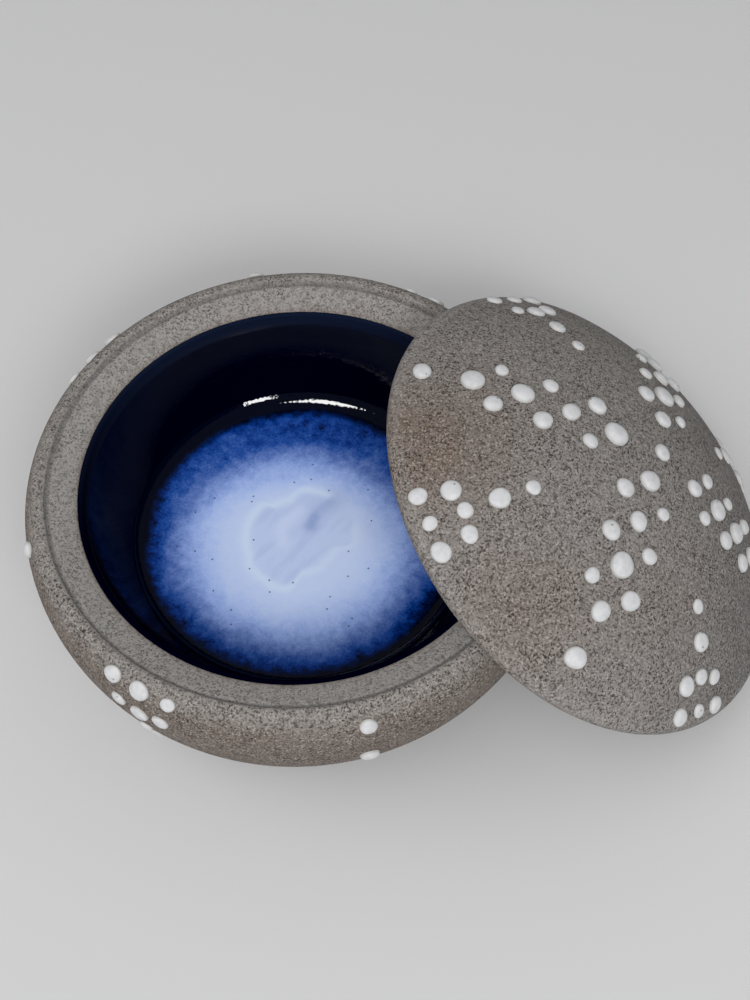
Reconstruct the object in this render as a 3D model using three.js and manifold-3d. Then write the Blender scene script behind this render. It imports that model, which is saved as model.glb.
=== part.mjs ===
// Lidded stoneware jar with its lid taken off and leaned against the rim.
// Millimetres, +Z up. The origin lies on the table, under the middle of jar and lid together.
import * as THREE from 'three';
import { mergeVertices } from 'three/addons/utils/BufferGeometryUtils.js';
import Module from 'manifold-3d';

const wasm = await Module();
wasm.setup();

// Jar body, thrown and turned. It is as wide as its belly and as high as its crest. Insets are
// measured inwards from the belly, drops down from the crest, and heights up from the table.
const bellyRadius = 60;
const crestHeight = 44.8;
const shoulderInset = 4.9;
const shoulderDrop = 10.5;
const shoulderSquareness = 2.15;
const lowerBellyInset = 24;
const undercutHeight = 6.44;
const undercutAngle = -64;
const footInset = 22;
const footWidth = 8;
const footHeight = 3.4;
const footRecess = 3;
const footBevel = 0.9;

// Crest, and inside it the gallery with its groove and the sloping seat for the lid's edge.
const crestRounding = 0.7;
const seatDrop = 0.6;
const seatWidth = 6.5;
const seatRise = 3.2;
const grooveWidth = 1;
const grooveDepth = 0.45;

// Inside of the bowl, the glaze that lines it and the glass that pooled on its floor. The wall
// leans outwards at the lip and curves in slowly, and a tighter curve carries it into the floor.
const floorHeight = 14;
const wallLean = 12;
const wallCurve = 60;
const floorCurve = 9;
const glazeThickness = 0.8;
const poolDepth = 5.3;
const meniscusRise = 1.5;

// Lid, a shallow dome with a rounded edge, a flat rim below and a hollow inside.
const lidClearance = 0.4;
const lidHeight = 23.9;
const lidEdgeRounding = 2.4;
const lidRimWidth = 3.2;
const lidWall = 5;
const hollowCorner = 0.6;
const lidGlazeMargin = 1.4;

// How the lid leans, and the small gaps between pieces that touch.
const leanAngle = THREE.MathUtils.degToRad(33.5);
const crestGap = 0.3;
const tableGap = 0.3;
const bond = 0.3;

// Raised slip beads. An arm is a row from near the crown to near the lid's edge, with pairs beside
// it. A sprig is a short stem that opens into two wider rows. Starts and steps on the lid run over
// its dome from the crown, and an edge inset is what is left of the dome beyond the last bead.
const beadFlatness = 0.22;
const beadSink = 0.3;
const armBeadDiameter = 4.9;
const sideBeadDiameter = 3.8;
const beadVariation = 0.7;
const beadBeat = 2.4;
const armBeads = 5;
const armPairs = 3;
const pairSpread = 5.3;
const arms = [
  { bearing: 163, start: 10.4, edgeInset: 3.8 },
  { bearing: -108, start: 6.5, edgeInset: 8.2 },
  { bearing: -14, start: 12.4, edgeInset: 11 },
  { bearing: 67, start: 14, edgeInset: 3 },
];
const centreBead = { bearing: 44, distance: 3.6, diameter: 4.6 };
const lidSprigBearings = [113, 28, -64, -155];
const sprigEdgeInset = 2.3;
const stemStep = 7.6;
const innerRowStep = 16.2;
const outerRowStep = 22.8;
const innerRowSpread = 5.2;
const outerRowSpread = 6.7;
const sprigBeadDiameter = 3.9;

// The same ornament runs on over the jar's shoulder, where distances are drops from the crest.
const jarSprigBearings = [-121.5, -32, 57, 145];
const jarSprigDrop = 2.1;
const jarPairBearings = [-75, 14, 101, -164];
const jarPairDrops = [3.8, 17.2];
const jarBeadDiameter = 4.4;

// Faces round a turned piece, and round a bead.
const turns = 48;
const beadTurns = 8;

const clayFinish = { color: 0x7d7870, roughness: 0.88, metalness: 0 };
const lidClayFinish = { color: 0x736e67, roughness: 0.88, metalness: 0 };
const glazeFinish = { color: 0x05082c, roughness: 0.08, metalness: 0 };
const poolFinish = { color: 0x9fb2de, roughness: 0.06, metalness: 0 };
const slipFinish = { color: 0xdcdedb, roughness: 0.45, metalness: 0 };

const point = (r, z) => new THREE.Vector2(r, z);

// Points on an ellipse, or with a squareness above 2 on a superellipse, between two angles.
function sweep(centreR, centreZ, radiusR, radiusZ, from, to, steps, squareness = 2) {
  const power = 2 / squareness;
  const points = [];
  for (let i = 0; i <= steps; i += 1) {
    const angle = THREE.MathUtils.degToRad(from + ((to - from) * i) / steps);
    const c = Math.cos(angle);
    const s = Math.sin(angle);
    points.push(point(
      centreR + radiusR * Math.sign(c) * Math.abs(c) ** power,
      centreZ + radiusZ * Math.sign(s) * Math.abs(s) ** power,
    ));
  }
  return points;
}

// A solid turned about the Z axis from a profile of radius and height.
function turned(profile, around = turns) {
  return new THREE.LatheGeometry(profile, around).rotateX(Math.PI / 2);
}

function solidOf(geometry) {
  const bare = geometry.clone();
  bare.deleteAttribute('normal');
  bare.deleteAttribute('uv');
  const merged = mergeVertices(bare, 1e-4);
  return new wasm.Manifold(new wasm.Mesh({
    numProp: 3,
    vertProperties: Float32Array.from(merged.attributes.position.array),
    triVerts: Uint32Array.from(merged.index.array),
  }));
}

function geometryOf(solid) {
  const { vertProperties, triVerts } = solid.getMesh();
  const geometry = new THREE.BufferGeometry();
  geometry.setAttribute('position', new THREE.BufferAttribute(vertProperties, 3));
  geometry.setIndex(new THREE.BufferAttribute(triVerts, 1));
  geometry.computeVertexNormals();
  return geometry;
}

function piece(name, geometry, finish) {
  const mesh = new THREE.Mesh(geometry, new THREE.MeshStandardMaterial(finish));
  mesh.name = name;
  return mesh;
}

// The shoulder runs from the belly up to the top of the crest, level there. The crest's inner
// side drops into the gallery, whose seat slopes down to the mouth.
const bellyHeight = crestHeight - shoulderDrop;
const lowerBellyReach = (undercutHeight - bellyHeight) / Math.sin(THREE.MathUtils.degToRad(undercutAngle));
const footRadius = bellyRadius - footInset;
const crestRadius = bellyRadius - shoulderInset;
const galleryRadius = crestRadius - crestRounding;
const lipRadius = galleryRadius - seatWidth;
const mouthRadius = lipRadius - bond - glazeThickness;
const mouthHeight = crestHeight - seatDrop - seatRise;
const poolHeight = floorHeight + poolDepth;

// Bowl of the jar: the wall's arc from a height down to where the floor's arc takes over from it,
// smoothly, then that arc and the flat floor. A positive inset lies inside the glazed surface,
// and a negative one in the clay behind it. Angles are below the level of each arc's centre.
const wallCentreR = mouthRadius - wallCurve * Math.cos(THREE.MathUtils.degToRad(wallLean));
const wallCentreZ = mouthHeight + wallCurve * Math.sin(THREE.MathUtils.degToRad(wallLean));
const cornerCentreZ = floorHeight + floorCurve;
const takeover = Math.asin((wallCentreZ - cornerCentreZ) / (wallCurve - floorCurve));
const cornerCentreR = wallCentreR + (wallCurve - floorCurve) * Math.cos(takeover);

function bowl(inset, top, wallSteps, cornerSteps) {
  const wallRadius = wallCurve - inset;
  const cornerRadius = floorCurve - inset;
  const start = -THREE.MathUtils.radToDeg(Math.asin((wallCentreZ - top) / wallRadius));
  const join = -THREE.MathUtils.radToDeg(takeover);
  const wall = sweep(wallCentreR, wallCentreZ, wallRadius, wallRadius, start, join, wallSteps);
  const corner = sweep(cornerCentreR, cornerCentreZ, cornerRadius, cornerRadius, join, -90, cornerSteps);
  return [...wall, ...corner.slice(1), point(0, cornerCentreZ - cornerRadius)];
}

// Outside wall of the jar, at a height above the table, with its outward direction.
function wallAt(height) {
  const above = height > bellyHeight;
  const inset = above ? shoulderInset : lowerBellyInset;
  const reach = above ? shoulderDrop : lowerBellyReach;
  const squareness = above ? shoulderSquareness : 2;
  const up = Math.abs(height - bellyHeight) / reach;
  const out = (1 - up ** squareness) ** (1 / squareness);
  const normal = new THREE.Vector2(
    out ** (squareness - 1) / inset,
    (Math.sign(height - bellyHeight) * up ** (squareness - 1)) / reach,
  ).normalize();
  return { r: bellyRadius - inset + inset * out, z: height, normal };
}

// Jar body profile, from the recess under the foot, up the wall, over the crest and down the bowl.
function jarProfile() {
  const seatSlope = seatRise / seatWidth;
  const seatHeight = (r) => mouthHeight + (r - lipRadius) * seatSlope;
  const grooveInner = galleryRadius - grooveWidth;
  const grooveMiddle = galleryRadius - grooveWidth / 2;
  const lowerBelly = sweep(bellyRadius - lowerBellyInset, bellyHeight, lowerBellyInset, lowerBellyReach,
    undercutAngle, 0, 7);
  const shoulder = sweep(crestRadius, bellyHeight, shoulderInset, shoulderDrop,
    0, 90, 8, shoulderSquareness);
  const crest = sweep(crestRadius, crestHeight - crestRounding, crestRounding, crestRounding, 90, 180, 3);
  return [
    point(0, footRecess),
    point(footRadius - footWidth - footRecess / 2, footRecess),
    point(footRadius - footWidth, footBevel / 2),
    point(footRadius - footWidth + footBevel / 2, 0),
    point(footRadius - footBevel, 0),
    point(footRadius, footBevel),
    point(footRadius + footBevel / 2, footHeight),
    ...lowerBelly,
    ...shoulder.slice(1),
    ...crest.slice(1),
    point(grooveMiddle, seatHeight(grooveMiddle) - grooveDepth),
    point(grooveInner, seatHeight(grooveInner)),
    ...bowl(-(glazeThickness + bond), mouthHeight, 4, 3),
  ];
}

// Glaze that lines the bowl, a thin skin with a rounded top edge at the lip.
function jarGlazeProfile() {
  const inner = bowl(0, mouthHeight, 4, 3);
  const outer = bowl(-glazeThickness, mouthHeight, 4, 3).reverse();
  const lip = point(inner[0].x + glazeThickness / 2, mouthHeight + glazeThickness / 3);
  return [...outer, lip, ...inner];
}

// Glass pool on the floor. Its top is level, and a hollow fillet climbs from there until it runs
// up the wall without a step.
function poolProfile() {
  const shoreHeight = poolHeight + meniscusRise;
  const underside = bowl(bond, shoreHeight, 2, 3).reverse();
  const shore = underside[underside.length - 1];
  const wallSlope = Math.acos((wallCentreZ - shoreHeight) / (wallCurve - bond));
  const fillet = meniscusRise / (1 - Math.cos(wallSlope));
  const meniscus = sweep(shore.x - fillet * Math.sin(wallSlope), poolHeight + fillet, fillet, fillet,
    THREE.MathUtils.radToDeg(wallSlope) - 90, -90, 3);
  return [...underside, ...meniscus.slice(1), point(0, poolHeight)];
}

// Lid dome: a sphere that meets the rounded edge smoothly. Heights are from the lid's rim.
const lidRadius = galleryRadius - lidClearance;
const edgeCentreR = lidRadius - lidEdgeRounding;
const domeRise = lidHeight - 2 * lidEdgeRounding;
const domeRadius = (edgeCentreR ** 2 + lidHeight * domeRise) / (2 * domeRise);
const domeCentreZ = lidHeight - domeRadius;
const edgeAngle = THREE.MathUtils.radToDeg(Math.atan2(lidEdgeRounding - domeCentreZ, edgeCentreR));
const domeReach = domeRadius * THREE.MathUtils.degToRad(90 - edgeAngle);
const hollowRadius = edgeCentreR - lidRimWidth;
const ceilingRadius = domeRadius - lidWall;

function lidProfile() {
  const wallTop = domeCentreZ + Math.sqrt(ceilingRadius ** 2 - hollowRadius ** 2);
  const ceilingAngle = THREE.MathUtils.radToDeg(Math.atan2(wallTop - domeCentreZ, hollowRadius));
  return [
    ...sweep(0, domeCentreZ, ceilingRadius, ceilingRadius, 90, ceilingAngle, 5),
    point(hollowRadius, hollowCorner),
    point(hollowRadius + hollowCorner, 0),
    ...sweep(edgeCentreR, lidEdgeRounding, lidEdgeRounding, lidEdgeRounding, -90, edgeAngle, 6),
    ...sweep(0, domeCentreZ, domeRadius, domeRadius, edgeAngle, 90, 10).slice(1),
  ];
}

// Glaze inside the lid, a skin on the ceiling of the hollow that stops short of the rim.
function lidGlazeProfile() {
  const outer = ceilingRadius - bond;
  const inner = outer - glazeThickness;
  const margin = hollowRadius - lidGlazeMargin;
  const edge = THREE.MathUtils.radToDeg(Math.acos(margin / outer));
  return [
    ...sweep(0, domeCentreZ, inner, inner, 90, edge, 5),
    ...sweep(0, domeCentreZ, outer, outer, edge, 90, 5),
  ];
}

// A bead is a drop of slip that dried as a low dome on a round foot.
function beadGeometry(diameter) {
  const radius = diameter / 2;
  const height = diameter * beadFlatness;
  const dome = sweep(0, 0, radius, height, 0, 90, 2);
  return turned([point(0, 0), ...dome], beadTurns);
}

// A place on the lid's dome: a way over the dome along a bearing from the crown, and a step to
// its left.
function onLid(bearing, along, aside, lift) {
  const heading = THREE.MathUtils.degToRad(bearing) + Math.atan2(aside, along);
  const fall = Math.hypot(along, aside) / domeRadius;
  const normal = new THREE.Vector3(
    Math.sin(fall) * Math.cos(heading),
    Math.sin(fall) * Math.sin(heading),
    Math.cos(fall),
  );
  const place = normal.clone().multiplyScalar(domeRadius + lift);
  place.z += domeCentreZ;
  return { place, normal };
}

// A place on the jar's wall: a bearing, a height, and a step to the left round the wall.
function onJar(bearing, height, aside, lift) {
  const wall = wallAt(height);
  const angle = THREE.MathUtils.degToRad(bearing) + aside / wall.r;
  const outward = new THREE.Vector3(Math.cos(angle), Math.sin(angle), 0);
  const normal = outward.clone().multiplyScalar(wall.normal.x);
  normal.z = wall.normal.y;
  const place = outward.multiplyScalar(wall.r);
  place.z = wall.z;
  place.addScaledVector(normal, lift);
  return { place, normal };
}

function beadFrame({ place, normal }) {
  const turn = new THREE.Quaternion().setFromUnitVectors(new THREE.Vector3(0, 0, 1), normal);
  return new THREE.Matrix4().compose(place, turn, new THREE.Vector3(1, 1, 1));
}

// Drops of slip differ a little. Each next bead is larger or smaller by this slow beat.
let beadCount = 0;
function varied(diameter) {
  beadCount += 1;
  return diameter + beadVariation * Math.sin(beadCount * beadBeat);
}

function beadMesh(name, spot, diameter) {
  const mesh = piece(name, beadGeometry(varied(diameter)), slipFinish);
  mesh.applyMatrix4(beadFrame(spot));
  return mesh;
}

// The eight beads of a sprig, as distance from its start and step to the side.
const sprigBeads = [
  [0, 0],
  [stemStep, 0],
  [2 * stemStep, 0],
  [innerRowStep, innerRowSpread],
  [innerRowStep, -innerRowSpread],
  [outerRowStep, 0],
  [outerRowStep, outerRowSpread],
  [outerRowStep, -outerRowSpread],
];

// Sprig beads are fired into one with the clay that carries them.
function withSprigs(body, bearings, spotFor) {
  let solid = solidOf(body);
  for (const bearing of bearings) {
    for (const [along, aside] of sprigBeads) {
      const bead = beadGeometry(varied(sprigBeadDiameter));
      bead.applyMatrix4(beadFrame(spotFor(bearing, along, aside)));
      solid = solid.add(solidOf(bead));
    }
  }
  return geometryOf(solid);
}

const jarSprigFoot = crestHeight - jarSprigDrop - outerRowStep;
const sprigStart = domeReach - sprigEdgeInset - outerRowStep;

const jar = new THREE.Group();
const jarClay = withSprigs(turned(jarProfile()), jarSprigBearings,
  (bearing, along, aside) => onJar(bearing, jarSprigFoot + along, aside, -beadSink));
jar.add(piece('jar_body', jarClay, clayFinish));
jar.add(piece('jar_glaze_lining', turned(jarGlazeProfile()), glazeFinish));
jar.add(piece('jar_glass_pool', turned(poolProfile()), poolFinish));
jarPairBearings.forEach((bearing, side) => {
  jarPairDrops.forEach((drop, row) => {
    const spot = onJar(bearing, crestHeight - drop, 0, bond);
    jar.add(beadMesh(`jar_bead_${side + 1}_${row + 1}`, spot, jarBeadDiameter));
  });
});

const lid = new THREE.Group();
const lidClay = withSprigs(turned(lidProfile()), lidSprigBearings,
  (bearing, along, aside) => onLid(bearing, sprigStart + along, aside, -beadSink));
lid.add(piece('lid_body', lidClay, lidClayFinish));
lid.add(piece('lid_glaze_lining', turned(lidGlazeProfile()), glazeFinish));
const centreSpot = onLid(centreBead.bearing, centreBead.distance, 0, bond);
lid.add(beadMesh('lid_bead_centre', centreSpot, centreBead.diameter));
arms.forEach(({ bearing, start, edgeInset }, arm) => {
  const step = (domeReach - edgeInset - start) / (armBeads - 1);
  for (let i = 0; i < armBeads; i += 1) {
    const spot = onLid(bearing, start + i * step, 0, bond);
    lid.add(beadMesh(`lid_arm_${arm + 1}_bead_${i + 1}`, spot, armBeadDiameter));
  }
  for (let i = 0; i < armPairs; i += 1) {
    for (const side of [-1, 1]) {
      const spot = onLid(bearing, start + (i + 0.5) * step, side * pairSpread, bond);
      const hand = side < 0 ? 'right' : 'left';
      lid.add(beadMesh(`lid_arm_${arm + 1}_${hand}_${i + 1}`, spot, sideBeadDiameter));
    }
  }
});

// The lid leans away from the jar's axis, with its edge on the table on the far side. It slides in
// from clear of the jar until the inner edge of its rim bears on the crest, at a place on each
// side, so the distance between them is halved until the gap left there is the one wanted.
const lidZ = tableGap + edgeCentreR * Math.sin(leanAngle) + lidEdgeRounding * (1 - Math.cos(leanAngle));
const standingJar = solidOf(jarClay);
const leaningLid = solidOf(lidClay.clone().rotateY(leanAngle));
let tooNear = 0;
let lidX = crestRadius + 2 * lidRadius;
while (lidX - tooNear > crestGap / 100) {
  const x = (tooNear + lidX) / 2;
  if (standingJar.minGap(leaningLid.translate([x, 0, lidZ]), 2 * crestGap) > crestGap) lidX = x;
  else tooNear = x;
}
lid.rotation.y = leanAngle;
lid.position.set(lidX, 0, lidZ);

const jarAndLid = new THREE.Group();
jarAndLid.add(jar, lid);
jarAndLid.updateMatrixWorld(true);
const middle = new THREE.Box3().setFromObject(jarAndLid, true).getCenter(new THREE.Vector3());
jar.position.x -= middle.x;
lid.position.x -= middle.x;
jar.position.y -= middle.y;
lid.position.y -= middle.y;

export default jarAndLid;
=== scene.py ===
import math

import bpy
import numpy as np
from mathutils import Matrix, Vector


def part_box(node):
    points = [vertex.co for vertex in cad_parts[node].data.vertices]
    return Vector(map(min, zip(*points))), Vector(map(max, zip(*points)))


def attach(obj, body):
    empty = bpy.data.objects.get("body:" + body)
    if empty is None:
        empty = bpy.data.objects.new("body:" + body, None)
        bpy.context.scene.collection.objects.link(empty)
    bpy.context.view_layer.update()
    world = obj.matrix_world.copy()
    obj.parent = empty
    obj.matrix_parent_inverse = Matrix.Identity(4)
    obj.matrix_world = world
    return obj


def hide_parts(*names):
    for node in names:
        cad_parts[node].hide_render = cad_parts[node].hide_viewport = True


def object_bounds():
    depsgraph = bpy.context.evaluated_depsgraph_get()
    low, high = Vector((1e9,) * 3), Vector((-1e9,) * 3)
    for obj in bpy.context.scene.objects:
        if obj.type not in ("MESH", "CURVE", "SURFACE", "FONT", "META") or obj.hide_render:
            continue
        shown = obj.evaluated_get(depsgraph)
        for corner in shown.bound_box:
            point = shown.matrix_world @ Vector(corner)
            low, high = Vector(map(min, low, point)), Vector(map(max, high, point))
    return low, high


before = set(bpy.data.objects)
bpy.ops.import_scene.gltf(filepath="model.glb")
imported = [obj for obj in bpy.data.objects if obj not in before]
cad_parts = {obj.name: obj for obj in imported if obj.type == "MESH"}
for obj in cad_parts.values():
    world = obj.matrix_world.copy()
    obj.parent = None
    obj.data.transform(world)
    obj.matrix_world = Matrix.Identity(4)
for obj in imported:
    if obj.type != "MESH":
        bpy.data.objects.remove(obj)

cad_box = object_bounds()
mm = 0.001

# Viewpoint. The jar is seen from in front and well above, a little turned in the hand. The lens
# is the one that a 36 mm long side would need, and the frame is 750 x 1000.
eye = Vector((-8.21, -163.59, 299.83)) * mm
looks_down = math.radians(58.44)
hand_turn = -0.010
viewpoint = bpy.data.cameras.new("viewpoint")
viewpoint.sensor_width = 36
viewpoint.lens = 50.4
viewpoint.clip_start = 0.01
camera = bpy.data.objects.new("viewpoint", viewpoint)
bpy.context.scene.collection.objects.link(camera)
tilt = Matrix.Rotation(math.pi / 2 - looks_down, 4, "X") @ Matrix.Rotation(hand_turn, 4, "Z")
camera.matrix_world = Matrix.Translation(eye) @ tilt
bpy.context.scene.camera = camera
bpy.context.scene.view_settings.view_transform = "Standard"


# Table and daylight. The jar stands on a plain, pale painted table. Soft daylight comes from above
# and the left, and a bright gap between curtains in front throws the shadow behind the pots. Two
# more windows, one wide and one narrow, only show as reflections in the glaze.
def pale(red, green, blue):
    """A colour given as 0-255 screen values, in the linear values that a shader takes."""
    screen = np.array((red, green, blue)) / 255
    linear = np.where(screen < 0.04045, screen / 12.92, ((screen + 0.055) / 1.055) ** 2.4)
    return (*linear.tolist(), 1.0)


def add(tree, kind, feeds=None, **settings):
    """One more node of a finish. Each feed is a socket with the value or the output that it takes."""
    made = tree.nodes.new("ShaderNode" + kind)
    for setting, value in settings.items():
        setattr(made, setting, value)
    for socket, value in (feeds or {}).items():
        if isinstance(value, bpy.types.NodeSocket):
            tree.links.new(value, made.inputs[socket])
        else:
            made.inputs[socket].default_value = value
    return made


def new_finish(name):
    """An empty material: the material, its node tree and its shader, already wired to the output."""
    finish = bpy.data.materials.new(name)
    finish.use_nodes = True
    finish.node_tree.nodes.clear()
    shader = add(finish.node_tree, "BsdfPrincipled")
    add(finish.node_tree, "OutputMaterial", {"Surface": shader.outputs[0]})
    return finish, finish.node_tree, shader


table_reach = 12.0
table_sink = 0.05 * mm
lamp_distance = 1.15
# A lamp's breadth and tallness are those seen from the jar. They and the turns are in degrees.
lamps = [
    # name, bearing, breadth, tallness, elevation, roll, glow
    ("soft_daylight", -42, 84, 46, 56, 0, 1.2),
    ("bright_gap", 12, 28, 14, 42, 0, 9.0),
    ("wide_window", -28.5, 19, 18.7, 66, -15, 130.0),
    ("narrow_window", 21.5, 14, 23.7, 22, 0, 130.0),
]
room_glow = 0.4

table_finish, tree, shader = new_finish("painted_table")
shader.inputs["Base Color"].default_value = pale(211, 211, 212)
shader.inputs["Roughness"].default_value = 1.0
shader.inputs["Specular IOR Level"].default_value = 0.0
corners = np.array([(-1, -1, 0), (1, -1, 0), (1, 1, 0), (-1, 1, 0)]) * table_reach
corners[:, 2] = cad_box[0].z - table_sink
top = bpy.data.meshes.new("table")
top.from_pydata(corners.tolist(), [], [(0, 1, 2, 3)])
top.materials.append(table_finish)
table = bpy.data.objects.new("table", top)
bpy.context.scene.collection.objects.link(table)

middle = (cad_box[0] + cad_box[1]) / 2
for name, bearing, breadth, tallness, elevation, roll, glow in lamps:
    pane = bpy.data.lights.new(name, "AREA")
    pane.shape = "RECTANGLE"
    pane.size = 2 * lamp_distance * math.tan(math.radians(breadth / 2))
    pane.size_y = 2 * lamp_distance * math.tan(math.radians(tallness / 2))
    pane.energy = glow * math.pi * pane.size * pane.size_y
    lamp = bpy.data.objects.new(name, pane)
    bpy.context.scene.collection.objects.link(lamp)
    turn = Matrix.Rotation(math.radians(bearing), 4, "Z")
    rise = Matrix.Rotation(math.radians(90 - elevation), 4, "X")
    back = Matrix.Translation((0, 0, lamp_distance)) @ Matrix.Rotation(math.radians(roll), 4, "Z")
    lamp.matrix_world = Matrix.Translation(middle) @ turn @ rise @ back
    lamp.visible_camera = False
    lamp.visible_diffuse = not name.endswith("window")
    lamp.visible_glossy = name.endswith("window")

room = bpy.data.worlds.new("room")
room.use_nodes = True
room.node_tree.nodes["Background"].inputs["Color"].default_value = (1, 1, 1, 1)
room.node_tree.nodes["Background"].inputs["Strength"].default_value = room_glow
bpy.context.scene.world = room


# Jar body. A thick, squat stoneware pot, thrown and turned on the wheel and left bare outside.
# Its crest, groove and sloping seat take the lid's edge, and it stands on a turned foot ring.
def arc(centre_r, centre_z, radius_r, radius_z, start, end, points, squareness=2):
    """Radius and height along an ellipse, or a superellipse, between two angles in degrees."""
    angle = np.radians(np.linspace(start, end, points))
    c = np.cos(angle)
    s = np.sin(angle)
    power = 2 / squareness
    r = centre_r + radius_r * np.sign(c) * np.abs(c) ** power
    z = centre_z + radius_z * np.sign(s) * np.abs(s) ** power
    return np.stack([r, z], 1)


def worn(profile, wear, longest=1.2 * mm, sharpest=5):
    """Softens a profile's corners as handling and fire do. The line is cut into tiny steps, each
    point becomes the bell-weighted mean of its neighbours within about the wear, and then only
    as many points stay as keep each step under the longest length and the sharpest turn."""
    step = 0.06 * mm
    along = np.r_[0, np.cumsum(np.hypot(*np.diff(profile, axis=0).T))]
    fine = np.linspace(0, along[-1], int(along[-1] / step))
    line = np.stack([np.interp(fine, along, profile[:, k]) for k in (0, 1)], 1)
    reach = int(3 * wear / step)
    bell = np.exp(-0.5 * (np.arange(-reach, reach + 1) * step / wear) ** 2)
    bell /= bell.sum()
    padded = np.concatenate([2 * line[0] - line[reach:0:-1], line, 2 * line[-1] - line[-2:-reach - 2:-1]])
    soft = np.stack([np.convolve(padded[:, k], bell, "valid") for k in (0, 1)], 1)
    heading = np.unwrap(np.arctan2(*np.diff(soft, axis=0).T[::-1]))
    bend = np.r_[0, np.abs(np.diff(heading)), 0] / math.radians(sharpest)
    need = np.cumsum(bend + step / longest)
    kept = np.interp(np.linspace(need[0], need[-1], int(need[-1]) + 2), need, np.arange(len(soft)))
    return np.stack([np.interp(kept, np.arange(len(soft)), soft[:, k]) for k in (0, 1)], 1)


def turned(profile, around):
    """A pot's surface: each radius and height of the profile goes round the axis in equal turns.
    The profile starts and ends on the axis, where one point closes the surface."""
    angle = np.arange(around) * 2 * math.pi / around
    r = profile[1:-1, 0][:, None]
    z = np.repeat(profile[1:-1, 1][:, None], around, 1)
    rings = np.stack([r * np.cos(angle), r * np.sin(angle), z], 2).reshape(-1, 3)
    poles = [(0, 0, profile[0, 1]), (0, 0, profile[-1, 1])]
    points = np.concatenate([rings, poles])
    here = np.arange(around)
    onward = np.roll(here, -1)
    first = (np.arange(len(r) - 1) * around)[:, None]
    quads = np.stack([first + here, first + onward, first + around + onward, first + around + here], 2)
    last = (len(r) - 1) * around
    start_pole = np.full(around, len(rings))
    start_fan = np.stack([start_pole, onward, here], 1)
    end_fan = np.stack([start_pole + 1, last + here, last + onward], 1)
    return points, quads.reshape(-1, 4).tolist() + start_fan.tolist() + end_fan.tolist()


def fired_piece(name, points, faces, finish, body, nodes):
    """Makes one smooth piece of the pot, riding on its body in place of its solids."""
    mesh = bpy.data.meshes.new(name)
    mesh.from_pydata(points.tolist(), [], faces)
    mesh.shade_smooth()
    mesh.materials.append(finish)
    made = bpy.data.objects.new(name, mesh)
    bpy.context.scene.collection.objects.link(made)
    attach(made, body)
    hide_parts(*nodes)
    return made


def mark(piece, name, amounts):
    """Gives a piece a number at each of its points, which its finish reads under that name."""
    values = piece.data.attributes.new(name, "FLOAT", "POINT")
    values.data.foreach_set("value", amounts.astype(np.float32))


belly_radius = 60 * mm
crest_height = 44.8 * mm
shoulder_inset = 4.9 * mm
shoulder_drop = 10.5 * mm
shoulder_squareness = 2.15
lower_belly_inset = 24 * mm
undercut_height = 6.44 * mm
undercut_angle = -64
foot_radius = 38 * mm
foot_width = 8 * mm
foot_height = 3.4 * mm
foot_recess = 3 * mm
foot_bevel = 0.9 * mm
crest_rounding = 0.7 * mm
seat_drop = 0.6 * mm
seat_width = 6.5 * mm
seat_rise = 3.2 * mm
groove_width = 1.0 * mm
groove_depth = 0.45 * mm
floor_height = 14 * mm
wall_lean = math.radians(12)
wall_curve = 60 * mm
floor_curve = 9 * mm
glaze_thickness = 1.1 * mm
clay_wear = 0.22 * mm
seat_land = 0.2 * mm
turns = 256

glaze_low, glaze_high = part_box("jar_glaze_lining")
jar_axis = np.array([(glaze_low.x + glaze_high.x) / 2, (glaze_low.y + glaze_high.y) / 2, 0])
belly_height = crest_height - shoulder_drop
lower_belly_reach = (undercut_height - belly_height) / math.sin(math.radians(undercut_angle))
crest_radius = belly_radius - shoulder_inset
gallery_radius = crest_radius - crest_rounding
lip_radius = gallery_radius - seat_width
mouth_radius = lip_radius - glaze_thickness
mouth_height = crest_height - seat_drop - seat_rise
groove_middle = gallery_radius - groove_width / 2
wall_centre_r = mouth_radius - wall_curve * math.cos(wall_lean)
wall_centre_z = mouth_height + wall_curve * math.sin(wall_lean)
corner_centre_z = floor_height + floor_curve
takeover = math.asin((wall_centre_z - corner_centre_z) / (wall_curve - floor_curve))
corner_centre_r = wall_centre_r + (wall_curve - floor_curve) * math.cos(takeover)


def bowl(inset, top, points=60):
    """The bowl from a height on its wall to the axis. The wall's wide arc hands over, without a
    bend, to the tight arc of the corner, and that one to the flat floor."""
    wall_radius = wall_curve - inset
    corner_radius = floor_curve - inset
    start = -math.degrees(math.asin((wall_centre_z - top) / wall_radius))
    join = -math.degrees(takeover)
    wall = arc(wall_centre_r, wall_centre_z, wall_radius, wall_radius, start, join, points)
    corner = arc(corner_centre_r, corner_centre_z, corner_radius, corner_radius, join, -90, points)
    return np.concatenate([wall, corner[1:], [(0, corner_centre_z - corner_radius)]])


def seat_height(r):
    """Height of the sloping seat at a distance from the jar's axis."""
    return mouth_height + (r - lip_radius) * seat_rise / seat_width


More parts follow.
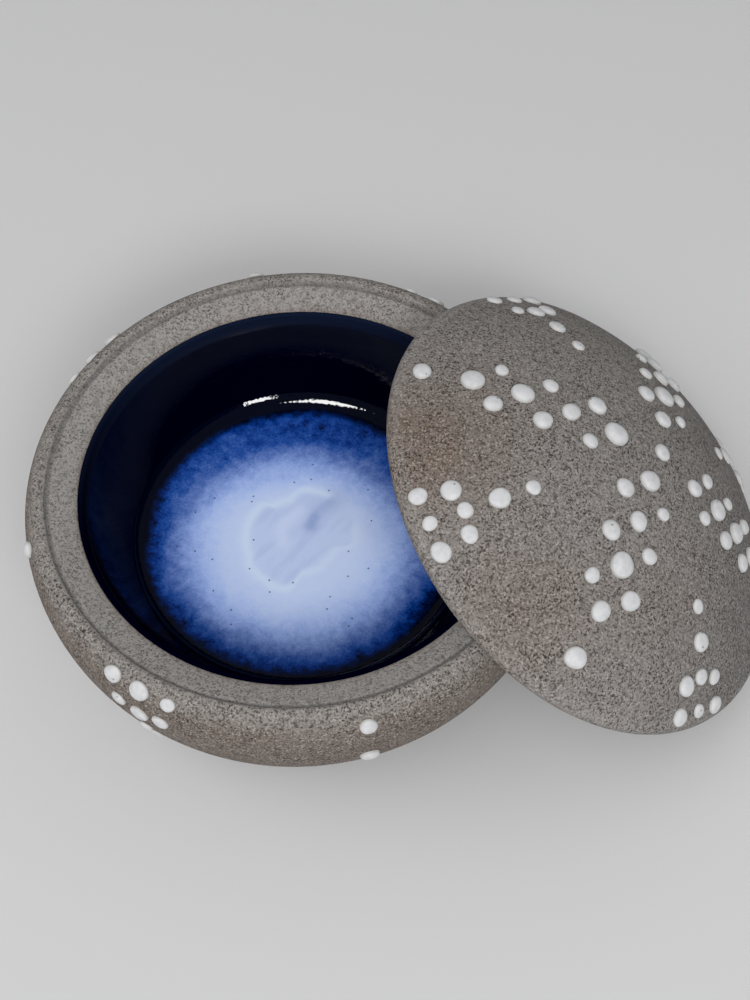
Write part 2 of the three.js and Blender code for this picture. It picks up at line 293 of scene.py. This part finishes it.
bowl_in_clay = bowl(-glaze_thickness, mouth_height)
seat_foot = bowl_in_clay[0, 0] + seat_land
jar_profile = np.concatenate([
    [(0, foot_recess), (foot_radius - foot_width - foot_recess / 2, foot_recess)],
    [(foot_radius - foot_width, foot_bevel / 2), (foot_radius - foot_width + foot_bevel / 2, 0)],
    [(foot_radius - foot_bevel, 0), (foot_radius, foot_bevel)],
    [(foot_radius + foot_bevel / 2, foot_height)],
    arc(belly_radius - lower_belly_inset, belly_height, lower_belly_inset, lower_belly_reach,
        undercut_angle, 0, 60),
    arc(crest_radius, belly_height, shoulder_inset, shoulder_drop, 1, 90, 60, shoulder_squareness),
    arc(crest_radius, crest_height - crest_rounding, crest_rounding, crest_rounding, 100, 180, 12),
    [(gallery_radius - groove_width * 0.3, seat_height(groove_middle) - groove_depth)],
    [(gallery_radius - groove_width * 0.7, seat_height(groove_middle) - groove_depth)],
    [(gallery_radius - groove_width, seat_height(gallery_radius - groove_width))],
    [(seat_foot, seat_height(seat_foot))],
    bowl_in_clay,
])
jar_points, jar_faces = turned(worn(jar_profile, clay_wear), turns)


def spread(value, low, high, bottom=0.0, top=1.0, way="SMOOTHSTEP"):
    """Carries a node's value from the range low to high over to the range bottom to top."""
    feeds = {"Value": value, "From Min": low, "From Max": high, "To Min": bottom, "To Max": top}
    return add(value.id_data, "MapRange", feeds, interpolation_type=way).outputs[0]


def blend(share, under, over):
    """Lays one colour over another, by a share from 0 to 1."""
    return add(share.id_data, "Mix", {0: share, 6: under, 7: over}, data_type="RGBA").outputs[2]


def times(a, b):
    """A node's value times a number or another value."""
    return add(a.id_data, "Math", {0: a, 1: b}, operation="MULTIPLY").outputs[0]


def amount(tree, mark_name):
    """The number that a mark gives at each point of the surface."""
    return add(tree, "Attribute", attribute_name=mark_name).outputs["Fac"]


def cloud(place, size, detail=2.0, roughness=0.5):
    """Soft noise whose lumps are about as large as the size."""
    feeds = {"Vector": place, "Scale": 1 / size, "Detail": detail, "Roughness": roughness}
    return add(place.id_data, "TexNoise", feeds).outputs[0]


def raised(height, strength, distance, under=None):
    """The surface's direction once a height is raised on it, over that of an earlier height."""
    feeds = {"Height": height, "Strength": strength, "Distance": distance}
    feeds |= {"Normal": under} if under else {}
    return add(height.id_data, "Bump", feeds).outputs[0]


def speckled_clay(name, body, warm, shift):
    """Bare fired stoneware. Its sand gives dark and pale grains a third of a millimetre across and
    peppery clusters, more of them in some places than in others. Five marks change its colour. One
    makes it warmer and darker: fire flashing, and painted shade on the jar's wall. One makes it
    greyer: painted shade, with a greyer tone on the lid. One makes it smoother and paler: wear,
    and painted light at the near side of the jar's seat. One browns it where it is scorched, and one
    lays a painted shade line along the groove."""
    finish, tree, shader = new_finish(name)
    place = add(tree, "TexCoord").outputs["Object"]
    place = add(tree, "Mapping", {"Vector": place, "Location": shift}).outputs[0]
    rubbed_and_lit = amount(tree, "rubbed_and_lit")
    sand = cloud(place, 0.48 * mm, 2.5, 0.7)
    pale_sand = cloud(place, 0.5 * mm, 1.0)
    pepper = cloud(place, 0.9 * mm, 2.5, 0.6)
    coarse = cloud(place, 1.3 * mm)
    sandiness = spread(cloud(place, 8 * mm), 0.3, 0.7, 0.6, 1.0)
    sandiness = times(sandiness, spread(rubbed_and_lit, 0, 1, 1.0, 0.75))
    # Warmer, darker clay: fire flashing, and on the jar's wall below the crest also painted shade.
    warmth = times(amount(tree, "flash_and_shade"), spread(cloud(place, 9 * mm), 0.3, 0.65, 0.7, 1.0))
    plain = blend(warmth, pale(*body), pale(*warm))
    # Greyer clay as painted shade: the back of the jar's seat, and on the lid also a greyer tone.
    plain = blend(amount(tree, "grey_and_shade"), plain, pale(104, 102, 102))
    # Paler, smoother clay: wear, and painted light on the near side of the jar's seat.
    plain = blend(times(rubbed_and_lit, 0.6), plain, pale(166, 164, 162))
    speckled = blend(times(spread(pale_sand, 0.53, 0.66), 0.65), plain, pale(172, 167, 161))
    speckled = blend(times(spread(coarse, 0.5, 0.34), 0.3), speckled, pale(78, 70, 64))
    peppered = times(spread(pepper, 0.43, 0.35), spread(rubbed_and_lit, 0, 1, 0.7, 0.3))
    speckled = blend(peppered, speckled, pale(62, 54, 49))
    dark_grains = times(spread(sand, 0.5, 0.38), sandiness)
    speckled = blend(dark_grains, speckled, pale(48, 41, 37))
    speckled = blend(times(amount(tree, "scorched"), 0.3), speckled, pale(104, 84, 72))
    # Painted shade: a dark line along the seat's groove.
    speckled = blend(times(amount(tree, "groove_shade"), 0.45), speckled, pale(66, 63, 60))
    tree.links.new(speckled, shader.inputs["Base Color"])
    shader.inputs["Roughness"].default_value = 0.9
    shader.inputs["Specular IOR Level"].default_value = 0.06
    rough = raised(coarse, 0.5, 0.12 * mm)
    tree.links.new(raised(sand, 0.5, 0.05 * mm, rough), shader.inputs["Normal"])
    return finish


jar_clay = speckled_clay("jar_clay", (141, 137, 133), (119, 108, 100), (0, 0, 0))
jar_body = fired_piece("jar_body_clay", jar_points + jar_axis, jar_faces, jar_clay, "jar",
                       ["jar_body"])
jar_r = np.hypot(jar_points[:, 0], jar_points[:, 1])
jar_z = jar_points[:, 2]
to_back = jar_points[:, 1] / gallery_radius
on_seat = (jar_z > mouth_height - 1 * mm) & (jar_r < gallery_radius + 0.4 * mm)
flash_starts = 4 * mm
least_flash = 0.1
groove_shade_width = 0.5 * mm
scorch_width = 0.7 * mm
below_crest = np.clip((crest_height - jar_z) / flash_starts, least_flash, 1.0)
# Paler seat: wear where the lid sits, and painted light growing towards its near side.
mark(jar_body, "rubbed_and_lit", on_seat * (0.85 - 0.15 * to_back))
# Painted shade greying the back half of the seat.
mark(jar_body, "grey_and_shade", 0.2 * on_seat * np.maximum(to_back, 0))
# Warmer, darker wall below the crest: fire flashing and painted shade.
mark(jar_body, "flash_and_shade", np.where(on_seat, least_flash, below_crest))
# A painted shade line along the groove of the seat.
mark(jar_body, "groove_shade", on_seat * np.exp(-((jar_r - groove_middle) / groove_shade_width) ** 2))
mark(jar_body, "scorched", on_seat * np.exp(-((jar_r - seat_foot) / scorch_width) ** 2))

# Glaze lining. A glassy navy glaze, poured in and swirled round before the last firing, covers
# the inside of the bowl and ends in a soft roll along the mouth.
glaze_roll = 0.35 * mm
glaze_wear = 0.18 * mm
glaze_inner = bowl(0, mouth_height)
glaze_outer = bowl(-glaze_thickness, mouth_height)[::-1]
glaze_lip = [(glaze_inner[0, 0] + glaze_thickness / 2, mouth_height + glaze_roll)]
glaze_profile = np.concatenate([glaze_outer, glaze_lip, glaze_inner])
glaze_points, glaze_faces = turned(worn(glaze_profile, glaze_wear), turns)


def navy_glaze(name):
    """Deep navy glaze, near black where it is thick, on a surface that is never quite even. Where
    the mark called thin says so, by the lip, it ran thin and matt, and the mark called teal says
    how far that shows in its colour."""
    finish, tree, shader = new_finish(name)
    colour = blend(amount(tree, "teal"), pale(0, 0, 16), pale(18, 26, 46))
    tree.links.new(colour, shader.inputs["Base Color"])
    shader.inputs["IOR"].default_value = 1.18
    for socket, thick_value, thin_value in (("Roughness", 0.03, 0.6), ("Specular IOR Level", 0.5, 0.0)):
        value = spread(amount(tree, "thin"), 0, 1, thick_value, thin_value, "LINEAR")
        tree.links.new(value, shader.inputs[socket])
    place = add(tree, "TexCoord").outputs["Object"]
    waves = raised(cloud(place, 7 * mm, 1.0), 1.0, 0.03 * mm)
    ripples = raised(cloud(place, 1.1 * mm, 1.0), 1.0, 0.01 * mm, waves)
    tree.links.new(ripples, shader.inputs["Normal"])
    return finish


thin_below_lip = 2.6 * mm


def thinness(depth):
    """How thin the glaze ran, from 1 at its lip to 0 below, by a soft step at the depth named."""
    return 1 / (1 + np.exp((depth / thin_below_lip - 1) * 12))


navy = navy_glaze("navy_glaze")
lining = fired_piece("jar_glaze", glaze_points + jar_axis, glaze_faces, navy, "jar",
                     ["jar_glaze_lining"])
far_side = np.clip(0.3 + glaze_points[:, 1] / mouth_radius, 0, 1)
lip_thinness = thinness(mouth_height - glaze_points[:, 2])
mark(lining, "thin", lip_thinness)
mark(lining, "teal", far_side * lip_thinness)

# Glass pool. Melted glass ran together on the bowl's floor, pale in the middle and blue towards
# the edge, and climbs the wall a little all round. It is level, clear on top and very smooth.
pool_depth = 5.3 * mm
pool_sink = 0.15 * mm
pool_wear = 0.02 * mm
pool_step = 0.45 * mm
meniscus_rise = 2.1 * mm
pool_height = floor_height + pool_depth
shore_height = pool_height + meniscus_rise
pool_bed = bowl(pool_sink, shore_height)[::-1]
wall_slope = math.acos((wall_centre_z - shore_height) / (wall_curve - pool_sink))
fillet = meniscus_rise / (1 - math.cos(wall_slope))
flat_radius = pool_bed[-1, 0] - fillet * math.sin(wall_slope)
meniscus = arc(flat_radius, pool_height + fillet, fillet, fillet, math.degrees(wall_slope) - 90, -90, 20)
pool_profile = np.concatenate([pool_bed, meniscus, [(0, pool_height)]])
pool_points, pool_faces = turned(worn(pool_profile, pool_wear, pool_step), turns)


# Lengths on the pool's own plan are in mm. This one stands for the whole range of its colours.
full_reach = 40


def melted_glass(name):
    """Reactive glass. Slow drifts and fine crystals move the mark called reach, which says how far
    out a point is as a share of the full reach, and that picks the colour, from lavender white to
    mottled blue and navy. The marks loop, within, wisp and dusk are the pattern it froze with, and
    burst bubbles left a few pits."""
    finish, tree, shader = new_finish(name)
    place = add(tree, "TexCoord").outputs["Object"]
    reach = amount(tree, "reach")
    unrest = spread(reach, 33 / full_reach, 35.5 / full_reach, 1.0, 0.35)
    for size, most, detail in ((11 * mm, 5, 2), (2.2 * mm, 7, 4), (0.6 * mm, 4, 2)):
        either_way = add(tree, "Math", {0: cloud(place, size, detail, 0.6), 1: -0.5}).outputs[0]
        drift = times(times(either_way, most / full_reach), unrest)
        reach = add(tree, "Math", {0: reach, 1: drift}).outputs[0]
    ramp = add(tree, "ValToRGB", {0: reach})
    bands = [
        (13, (196, 212, 246)),
        (18, (188, 206, 246)),
        (21, (174, 196, 244)),
        (24, (151, 176, 235)),
        (27, (117, 145, 210)),
        (29.5, (82, 112, 184)),
        (31.8, (34, 79, 162)),
        (33.6, (6, 51, 132)),
        (34.8, (2, 26, 76)),
        (35.8, (0, 4, 22)),
    ]
    while len(ramp.color_ramp.elements) < len(bands):
        ramp.color_ramp.elements.new(0.5)
    for stop, (radius, colour) in zip(ramp.color_ramp.elements, bands):
        stop.position = radius / full_reach
        stop.color = pale(*colour)
    colour = ramp.outputs[0]
    within = amount(tree, "within")
    colour = blend(times(within, 0.35), colour, pale(182, 198, 236))
    feeds = {"Vector": place, "Rotation": (0, 0, math.radians(52)), "Scale": (4, 1, 1)}
    along_flow = add(tree, "Mapping", feeds, vector_type="TEXTURE").outputs[0]
    flow = spread(cloud(along_flow, 2.4 * mm, 3.0), 0.44, 0.66)
    colour = blend(times(flow, times(within, 0.3)), colour, pale(160, 178, 224))
    colour = blend(times(amount(tree, "dusk"), 0.8), colour, pale(142, 162, 212))
    colour = blend(times(amount(tree, "loop"), 0.7), colour, pale(210, 226, 250))
    colour = blend(times(amount(tree, "wisp"), 0.6), colour, pale(206, 219, 250))

    pits = add(tree, "TexVoronoi", {"Vector": place, "Scale": 1 / (4.5 * mm)}, voronoi_dimensions="2D")
    chosen = add(tree, "SeparateColor", {0: pits.outputs["Color"]}).outputs[0]
    pit = times(spread(pits.outputs["Distance"], 0.06, 0.035), spread(chosen, 0.7, 0.72))
    pit = times(pit, spread(reach, 31 / full_reach, 28 / full_reach))
    colour = blend(times(pit, 0.8), colour, pale(40, 58, 112))
    tree.links.new(colour, shader.inputs["Base Color"])
    shader.inputs["Roughness"].default_value = 0.025
    shader.inputs["IOR"].default_value = 1.18
    ripples = raised(cloud(place, 0.9 * mm, 1.0), 1.0, 0.04 * mm)
    tree.links.new(raised(pit, 0.4, -0.15 * mm, ripples), shader.inputs["Normal"])
    return finish


pool = fired_piece("jar_pool", pool_points + jar_axis, pool_faces, melted_glass("pool_glass"), "jar",
                   ["jar_glass_pool"])
# The shore is as sharp as a knife, so each of its sides keeps its own shading.
pool.data.set_sharp_from_angle(angle=math.radians(60))
pool_spots = pool_points[:, :2] / mm
patch_middle = np.array((-0.8, -0.5))
patch_longest_way = (0.09, 1.0)
patch_r = np.hypot(*(pool_spots - patch_middle).T)
to_far_side = (pool_spots - patch_middle) @ patch_longest_way / np.maximum(patch_r, 0.1)
blue_band = np.interp(patch_r, [4, 14, 27, 33], [0, 1, 1, 0.1])
lopsided = np.where(to_far_side > 0, 6, 1.5) * to_far_side * blue_band
mark(pool, "reach", (patch_r + lopsided) / full_reach)


def near_path(path, width):
    """How near each point of the pool is to a path of points in mm, from 1 on it to 0 away from it."""
    stops = np.linspace(0, 1, len(path))
    fine = np.linspace(0, 1, 40)
    line = np.stack([np.interp(fine, stops, side) for side in np.transpose(path)], 1)
    gap = np.hypot(*(pool_spots[:, None] - line).T).min(0)
    return np.exp(-(gap / width) ** 2)


# The loop is a lopsided ring. Each of its points has a place in mm and a strength, and the ring's
# radius and strength in between are means weighted by how near the bearings are.
loop_middle = np.array((-0.6, -1.0))
loop = np.array([
    (0.9, 11.8, 1.0), (-4, 8.8, 1.0), (-11.6, 5, 1.0), (-12.9, -3, 1.0), (-9.6, -11.2, 1.0),
    (-4.4, -14.6, 1.0), (1.0, -10.4, 0.9), (7.2, -5.4, 0.8), (12.4, -1.5, 0.5), (11.2, 6, 0.2),
])
loop_evenness = 45
loop_bearing = np.arctan2(*(loop[:, :2] - loop_middle).T[::-1])
bearing = np.arctan2(*(pool_spots - loop_middle).T[::-1])
weight = np.exp(loop_evenness * (np.cos(bearing[:, None] - loop_bearing) - 1))
weight /= weight.sum(1, keepdims=True)
loop_radius = weight @ np.hypot(*(loop[:, :2] - loop_middle).T)
off_loop = np.hypot(*(pool_spots - loop_middle).T) - loop_radius
loop_width = 1.1
mark(pool, "loop", weight @ loop[:, 2] * np.exp(-(off_loop / loop_width) ** 2))
mark(pool, "within", 1 / (1 + np.exp((off_loop + 0.8) / 0.5)))
mark(pool, "wisp", near_path([(-0.6, 6.0), (-3.8, 3.4), (-5.0, 0.5), (-4.4, -2.4)], 1.8))
dark_spot = near_path([(2.0, 1.8), (2.9, 4.4)], 1.7)
faint_tail = near_path([(3, 5), (7.5, 9)], 2.6)
mark(pool, "dusk", np.maximum(dark_spot, 0.6 * faint_tail))

# Slip beads on the jar. Drops of thick white slip, set on the clay from a fine nozzle, dried as
# low domes. Four sprigs of eight and four pairs go round the shoulder and the belly.
def slip_domes(places, normals, radii, heights, seed):
    """One closed dome for each place. Its height over radius is a quarter of a superellipse, its
    outline swells by two and three soft lobes, and its flat foot is sunk a little in the clay."""
    around = 28
    rings = 9
    squareness = 2.3
    foot_sink = 0.12 * mm
    least_swell = 0.01
    any_turn = 6.3
    most_lean = 0.06
    draw = np.random.default_rng(seed)
    count = len(radii)
    slope = np.linspace(0, math.pi / 2, rings + 1)[1:]
    out = np.r_[np.sin(slope) ** (2 / squareness), 1.0]
    up = np.r_[np.cos(slope) ** (2 / squareness), 0.0]
    up[-2] = 0.0
    angle = np.arange(around) * 2 * math.pi / around
    swell = 0
    for lobes, most_swell in ((2, 0.06), (3, 0.025)):
        strength = draw.uniform(least_swell, most_swell, (count, 1))
        turn = draw.uniform(0, any_turn, (count, 1))
        swell = swell + strength * np.cos(lobes * angle + turn)
    reach = radii[:, None, None] * out[None, :, None] * (1 + swell[:, None, :])
    lean = draw.uniform(-most_lean, most_lean, (count, 2))
    x = reach * np.cos(angle) + (lean[:, :1, None] * radii[:, None, None]) * up[None, :, None]
    y = reach * np.sin(angle) + (lean[:, 1:, None] * radii[:, None, None]) * up[None, :, None]
    z = np.broadcast_to((heights[:, None] * up)[:, :, None], x.shape).copy()
    z[:, -1] = -foot_sink
    zero = np.zeros((count, 1))
    top = np.stack([lean[:, :1] * radii[:, None], lean[:, 1:] * radii[:, None], heights[:, None]], 2)
    foot = np.stack([zero, zero, zero - foot_sink], 2)
    local = np.concatenate([np.stack([x, y, z], 3).reshape(count, -1, 3), top, foot], 1)
    # No bead faces this way, so what is square to it gives each bead its sides.
    free_way = (0.31, 0.95, 0.05)
    side = np.cross(normals, free_way)
    side /= np.linalg.norm(side, axis=1, keepdims=True)
    over = np.cross(normals, side)
    axes = np.stack([side, over, normals], 1)
    points = np.einsum("bpk,bkc->bpc", local, axes) + places[:, None]
    here = np.arange(around)
    onward = np.roll(here, -1)
    first = (np.arange(rings) * around)[:, None]
    quads = np.stack([first + here, first + around + here, first + around + onward, first + onward], 2)
    peak = (rings + 1) * around
    fans = np.concatenate([
        np.stack([np.full(around, peak), here, onward], 1),
        np.stack([np.full(around, peak + 1), rings * around + onward, rings * around + here], 1),
    ])
    shift = (np.arange(count) * (peak + 2))[:, None, None]
    faces = (quads.reshape(1, -1, 4) + shift).reshape(-1, 4).tolist()
    faces += (fans[None] + shift).reshape(-1, 3).tolist()
    edge = np.tile(np.r_[np.repeat(out, around), 0.0, 1.0], count)
    return points.reshape(-1, 3), faces, edge


def white_slip(name):
    """Fired white slip: chalky and slightly glossy, a little greyer at the thin foot of a dome,
    where the mark called edge nears 1, partly clay showing through and partly painted shade, with a
    faint unevenness and a pinhole here and there."""
    finish, tree, shader = new_finish(name)
    place = add(tree, "TexCoord").outputs["Object"]
    lumps = cloud(place, 1.3 * mm, 4.0)
    uneven = spread(lumps, 0.35, 0.65, 0.0, 0.9, "LINEAR")
    colour = blend(uneven, pale(211, 211, 213), pale(196, 197, 198))
    # Greyer at the foot: thin slip over the clay, and painted shade where the dome meets the clay.
    at_foot = spread(amount(tree, "edge"), 0.9, 1.0, 0.0, 0.6, "LINEAR")
    colour = blend(at_foot, colour, pale(178, 176, 170))
    holes = add(tree, "TexVoronoi", {"Vector": place, "Scale": 1 / (1.6 * mm)})
    chosen = add(tree, "SeparateColor", {0: holes.outputs["Color"]}).outputs[0]
    near = spread(holes.outputs["Distance"], 0.17, 0.1, way="LINEAR")
    hole = times(near, spread(chosen, 0.7, 0.72, way="LINEAR"))
    colour = blend(hole, colour, pale(128, 120, 110))
    tree.links.new(colour, shader.inputs["Base Color"])
    shader.inputs["Roughness"].default_value = 0.75
    shader.inputs["Specular IOR Level"].default_value = 0.08
    tree.links.new(raised(lumps, 0.3, 0.12 * mm), shader.inputs["Normal"])
    return finish


def bead_of(node, origin):
    """Place, direction, radius and height of a bead's solid. The direction runs from the origin
    given, and the foot lies where the clay is."""
    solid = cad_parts[node].data
    points = np.array([v.co for v in solid.vertices])
    normal = points.mean(0) - origin
    normal /= np.linalg.norm(normal)
    rise = (points - origin) @ normal
    aside = points - origin - rise[:, None] * normal
    centre = aside.mean(0)
    place = origin + centre + (rise.min() - bead_bond) * normal
    return place, normal, np.linalg.norm(aside - centre, axis=1).max(), np.ptp(rise) + bead_bond


def bead_group(name, spots, body, nodes, seed):
    """Makes one piece of a group of beads from the place, direction, radius and height of each."""
    places, normals, radii, heights = (np.array(part) for part in zip(*spots))
    points, faces, edge = slip_domes(places, normals, radii, heights, seed)
    group = fired_piece(name, points, faces, slip, body, nodes)
    mark(group, "edge", edge)


bead_bond = 0.3 * mm
bead_flatness = 0.22
sprig_bead_diameter = 3.9 * mm
sprig_bead_change = 0.7 * mm
size_beat = 2.4
stem_step = 7.6 * mm
inner_row = (16.2 * mm, 5.2 * mm)
outer_row = (22.8 * mm, 6.7 * mm)
sprig = [
    (0, 0),
    (stem_step, 0),
    (2 * stem_step, 0),
    inner_row,
    (inner_row[0], -inner_row[1]),
    (outer_row[0], 0),
    outer_row,
    (outer_row[0], -outer_row[1]),
]
jar_sprig_bearings = (-121.5, -32, 57, 145)
jar_sprig_drop = 2.1 * mm
jar_sprig_foot = crest_height - jar_sprig_drop - outer_row[0]
slip = white_slip("white_slip")

# The beads' sizes differ by a slow beat over their numbers. The jar's sprigs hold the numbers 1 to
# 32 and the lid's 41 to 72, because the jar's pairs come in between.
bead_numbers = np.r_[1:33, 41:73]
sprig_sizes = sprig_bead_diameter + sprig_bead_change * np.sin(bead_numbers * size_beat)
sprig_sizes = sprig_sizes.reshape(8, 8)


def on_wall(bearing, height, aside):
    """Place and outward direction on the jar's wall, from a bearing, a height and a step aside."""
    above = height > belly_height
    inset = shoulder_inset if above else lower_belly_inset
    reach = shoulder_drop if above else lower_belly_reach
    squareness = shoulder_squareness if above else 2
    up = abs(height - belly_height) / reach
    out = (1 - up ** squareness) ** (1 / squareness)
    r = belly_radius - inset + inset * out
    tilt_r = out ** (squareness - 1) / inset
    tilt_z = math.copysign(up ** (squareness - 1) / reach, height - belly_height)
    angle = math.radians(bearing) + aside / r
    outward = np.array([math.cos(angle), math.sin(angle), 0])
    normal = outward * tilt_r + np.array([0, 0, tilt_z])
    return jar_axis + outward * r + np.array([0, 0, height]), normal / np.linalg.norm(normal)


for number, bearing in enumerate(jar_sprig_bearings):
    spots = []
    for (along, aside), size in zip(sprig, sprig_sizes[number]):
        place, normal = on_wall(bearing, jar_sprig_foot + along, aside)
        spots.append((place, normal, size / 2, size * bead_flatness))
    bead_group(f"jar_sprig_{number + 1}", spots, "jar", ["jar_body"], 10 + number)

for side in range(4):
    nodes = [f"jar_bead_{side + 1}_{row + 1}" for row in range(2)]
    spots = []
    for node in nodes:
        low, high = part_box(node)
        out_x, out_y, height = (np.array(low) + high) / 2 - jar_axis
        place, normal = on_wall(math.degrees(math.atan2(out_y, out_x)), height, 0)
        size = max(high - low)
        spots.append((place, normal, size / 2, size * bead_flatness + bead_bond))
    bead_group(f"jar_pair_{side + 1}", spots, "jar", nodes, 20 + side)

# Lid body. A shallow dome of the same clay, thrown upside down and turned smooth, with a rounded
# edge. It leans on the jar's crest with its low edge on the table.
lid_lean = math.radians(33.5)
lid_play = 0.4 * mm
lid_radius = gallery_radius - lid_play
lid_height = 23.9 * mm
lid_edge_rounding = 2.4 * mm
lid_rim_width = 3.2 * mm
lid_wall = 5 * mm
hollow_corner = 0.6 * mm

edge_centre = lid_radius - lid_edge_rounding
dome_rise = lid_height - 2 * lid_edge_rounding
dome_radius = (edge_centre ** 2 + lid_height * dome_rise) / (2 * dome_rise)
dome_centre = lid_height - dome_radius
edge_angle = math.degrees(math.atan2(lid_edge_rounding - dome_centre, edge_centre))
hollow_radius = edge_centre - lid_rim_width
ceiling_radius = dome_radius - lid_wall
ceiling_angle = math.degrees(math.acos(hollow_radius / ceiling_radius))
lid_profile = np.concatenate([
    arc(0, dome_centre, ceiling_radius, ceiling_radius, 90, ceiling_angle, 50),
    [(hollow_radius, hollow_corner), (hollow_radius + hollow_corner, 0)],
    arc(edge_centre, lid_edge_rounding, lid_edge_rounding, lid_edge_rounding, -90, edge_angle, 24),
    arc(0, dome_centre, dome_radius, dome_radius, edge_angle, 90, 80)[1:],
])
lid_profile[0, 0] = lid_profile[-1, 0] = 0
lid_points, lid_faces = turned(worn(lid_profile, clay_wear), turns)

lid_low, lid_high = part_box("lid_body")
lean_axes = np.array(Matrix.Rotation(lid_lean, 3, "Y"))
ring_centre = lean_axes @ (edge_centre, 0, lid_edge_rounding)
lid_place = np.array([
    lid_high.x - lid_edge_rounding - ring_centre[0],
    (lid_low.y + lid_high.y) / 2,
    lid_low.z + lid_edge_rounding - ring_centre[2],
])


def leaned(points):
    """Carries points from the lid's own frame, with its rim at height 0, to where it leans."""
    return points @ lean_axes.T + lid_place


lid_clay = speckled_clay("lid_clay", (137, 133, 130), (117, 98, 85), (0.37, 0.11, 0.23))
lid_body = fired_piece("lid_body_clay", leaned(lid_points), lid_faces, lid_clay, "lid",
                       ["lid_body"])
lid_r = np.hypot(lid_points[:, 0], lid_points[:, 1])
on_edge = (lid_r > edge_centre + 0.6 * mm) & (lid_points[:, 2] < 2.2 * lid_edge_rounding)
# Each flash has its place along and across the lean, its width in mm, and its strength.
flashes = [(-49, -3, 16, 1.0), (-28, -40, 15, 0.6), (4, -31, 12, 0.3)]
flash_and_shade = np.zeros(len(lid_r))
for x, y, width, strength in flashes:
    away = np.hypot(lid_points[:, 0] - x * mm, lid_points[:, 1] - y * mm)
    flash_and_shade += strength * np.exp(-(away / (width * mm)) ** 2)
greying_starts = 4 * mm
greying_width = 30 * mm
mark(lid_body, "rubbed_and_lit", 0.3 * on_edge)
mark(lid_body, "flash_and_shade", flash_and_shade)
# Greyer towards the lid's right side, where the dome leans away from the light: painted shade, partly a
# greyer tone.
mark(lid_body, "grey_and_shade", 0.6 * np.clip((lid_points[:, 0] - greying_starts) / greying_width, 0, 1))
# The lid has no groove, so it gets no painted groove shade.
mark(lid_body, "groove_shade", np.zeros(len(lid_r)))
mark(lid_body, "scorched", np.zeros(len(lid_r)))

# Glaze inside the lid. The same navy glaze covers the ceiling of the hollow and stops short of
# the bare rim, so that the lid doesn't stick to the jar in the fire.
lid_glaze_margin = 1.4 * mm
glaze_bite = 0.05 * mm
lid_glaze_outer = ceiling_radius + glaze_bite
lid_glaze_inner = ceiling_radius - glaze_thickness
margin_angle = math.degrees(math.acos((hollow_radius - lid_glaze_margin) / lid_glaze_outer))
lid_glaze_profile = np.concatenate([
    arc(0, dome_centre, lid_glaze_inner, lid_glaze_inner, 90, margin_angle, 50),
    arc(0, dome_centre, lid_glaze_outer, lid_glaze_outer, margin_angle, 90, 50),
])
lid_glaze_profile[0, 0] = lid_glaze_profile[-1, 0] = 0
lid_glaze_points, lid_glaze_faces = turned(worn(lid_glaze_profile, glaze_wear), turns)
lid_lining = fired_piece("lid_glaze", leaned(lid_glaze_points), lid_glaze_faces, navy, "lid",
                         ["lid_glaze_lining"])
lid_glaze_r = np.hypot(lid_glaze_points[:, 0], lid_glaze_points[:, 1])
edge_thinness = thinness(hollow_radius - lid_glaze_margin - lid_glaze_r)
mark(lid_lining, "thin", edge_thinness)
mark(lid_lining, "teal", edge_thinness)

# Slip beads on the lid. One drop sits near the crown, four long arms of drops with pairs beside
# them run out to the edge, and four short sprigs stand between the arms.
lid_sprig_bearings = (113, 28, -64, -155)
sprig_edge_inset = 2.3 * mm
dome_origin = leaned(np.array([0, 0, dome_centre]))
dome_reach = dome_radius * math.radians(90 - edge_angle)
sprig_start = dome_reach - sprig_edge_inset - outer_row[0]

bead_group("lid_crown_bead", [bead_of("lid_bead_centre", dome_origin)], "lid", ["lid_bead_centre"], 30)
for arm in range(4):
    nodes = sorted(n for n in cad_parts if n.startswith(f"lid_arm_{arm + 1}_"))
    spots = [bead_of(node, dome_origin) for node in nodes]
    bead_group(f"lid_arm_{arm + 1}", spots, "lid", nodes, 40 + arm)
for number, bearing in enumerate(lid_sprig_bearings):
    spots = []
    for (along, aside), size in zip(sprig, sprig_sizes[4 + number]):
        heading = math.radians(bearing) + math.atan2(aside, sprig_start + along)
        fall = math.hypot(sprig_start + along, aside) / dome_radius
        level = (math.sin(fall) * math.cos(heading), math.sin(fall) * math.sin(heading))
        normal = lean_axes @ (*level, math.cos(fall))
        spots.append((dome_origin + normal * dome_radius, normal, size / 2, size * bead_flatness))
    bead_group(f"lid_sprig_{number + 1}", spots, "lid", ["lid_body"], 50 + number)
